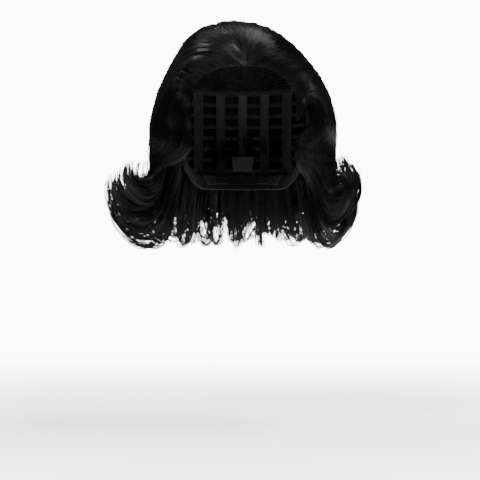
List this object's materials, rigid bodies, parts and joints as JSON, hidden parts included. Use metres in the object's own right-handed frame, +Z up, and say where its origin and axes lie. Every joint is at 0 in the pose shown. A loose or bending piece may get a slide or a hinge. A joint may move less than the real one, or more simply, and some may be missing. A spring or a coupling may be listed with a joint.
{
  "type": "costume wig",
  "caption": "Short black costume wig swept back from the forehead, with flipped-out ends, on a wefted elastic cap with ear tabs and nape adjusters.",
  "frame": {"origin": "the middle of the head that the cap fits, at the height of the widest head measurement, just above the brows", "axes": "+Z up, -Y the way the face looks, +X the wearer's left"},
  "size_m": [0.2811, 0.2451, 0.25],
  "materials": {
    "hair": "black synthetic fibre, satin sheen",
    "teased_hair": "crimped black fibre, matt",
    "weft_tape": "black machine weft stitching",
    "cap_net": "black knitted net",
    "elastic_ribbon": "black ribbed elastic",
    "elastic_strap": "black woven elastic",
    "cap_tape": "black folded tape",
    "ear_tab_cloth": "black woven tab cloth",
    "tab_stay": "smooth black boning",
    "hook_fastener": "stiff black hook tape",
    "pile_fastener": "soft black loop tape",
    "label": "plain satin label",
    "thread": "black thread"
  },
  "bodies": {
    "cap": {"back_fall_centre": "hair", "back_fall_left": "hair", "back_fall_right": "hair", "back_ribbon_centre": "elastic_ribbon", "back_ribbon_left_inner": "elastic_ribbon", "back_ribbon_left_outer": "elastic_ribbon", "back_ribbon_right_inner": "elastic_ribbon", "back_ribbon_right_outer": "elastic_ribbon", "bar_tacks": "thread", "care_label": "label", "crown_net": "cap_net", "flip_back_centre": "hair", "flip_back_left": "hair", "flip_back_right": "hair", "flip_left_side": "hair", "flip_right_side": "hair", "front_band": "cap_tape", "hair_back_upper": "hair", "hair_crown": "hair", "hair_front_left": "hair", "hair_front_right": "hair", "hair_temple_left": "hair", "hair_temple_right": "hair", "hairline_weft": "weft_tape", "nape_band": "cap_tape", "pile_tape_left": "pile_fastener", "pile_tape_right": "pile_fastener", "side_band_left": "cap_tape", "side_band_right": "cap_tape", "side_fall_left": "hair", "side_fall_right": "hair", "side_ribbon_left": "elastic_ribbon", "side_ribbon_right": "elastic_ribbon", "strap_tunnel_left": "cap_tape", "strap_tunnel_right": "cap_tape", "teased_pad": "teased_hair", "weft_row_1": "weft_tape", "weft_row_2": "weft_tape", "weft_row_3": "weft_tape", "weft_row_4": "weft_tape", "weft_row_5": "weft_tape", "weft_row_6": "weft_tape", "weft_row_7": "weft_tape", "weft_row_8": "weft_tape"},
    "adjuster_left": {"adjuster_strap_left": "elastic_strap", "hook_patch_left": "hook_fastener"},
    "adjuster_right": {"adjuster_strap_right": "elastic_strap", "hook_patch_right": "hook_fastener"},
    "tab_left": {"ear_tab_left": "ear_tab_cloth", "ear_tab_stay_left": "tab_stay"},
    "tab_right": {"ear_tab_right": "ear_tab_cloth", "ear_tab_stay_right": "tab_stay"},
    "lock_left": {"flip_left_front": "hair", "side_lock_left": "hair"},
    "lock_right": {"flip_right_front": "hair", "side_lock_right": "hair"}
  },
  "joints": [
    {"name": "lock_swing_left", "type": "hinge", "parent": "cap", "child": "lock_left", "pos_m": [0.1, -0.036, -0.0154], "axis": [0, -1, 0], "range_deg": [0, 25]},
    {"name": "ear_tab_fold_left", "type": "hinge", "parent": "cap", "child": "tab_left", "pos_m": [0.06942, -0.02785, 0.0056], "axis": [0.2438, 0.9698, 0], "range_deg": [0, 25]},
    {"name": "adjuster_slide_left", "type": "hinge", "parent": "cap", "child": "adjuster_left", "pos_m": [0, 0.03, -0.068], "axis": [0, 0, 1], "range_deg": [0, 14]},
    {"name": "lock_swing_right", "type": "hinge", "parent": "cap", "child": "lock_right", "pos_m": [-0.1, -0.036, -0.0154], "axis": [0, 1, 0], "range_deg": [0, 25]},
    {"name": "ear_tab_fold_right", "type": "hinge", "parent": "cap", "child": "tab_right", "pos_m": [-0.06942, -0.02785, 0.0056], "axis": [0.2438, -0.9698, 0], "range_deg": [0, 25]},
    {"name": "adjuster_slide_right", "type": "hinge", "parent": "cap", "child": "adjuster_right", "pos_m": [0, 0.03, -0.068], "axis": [0, 0, -1], "range_deg": [0, 14]}
  ]
}
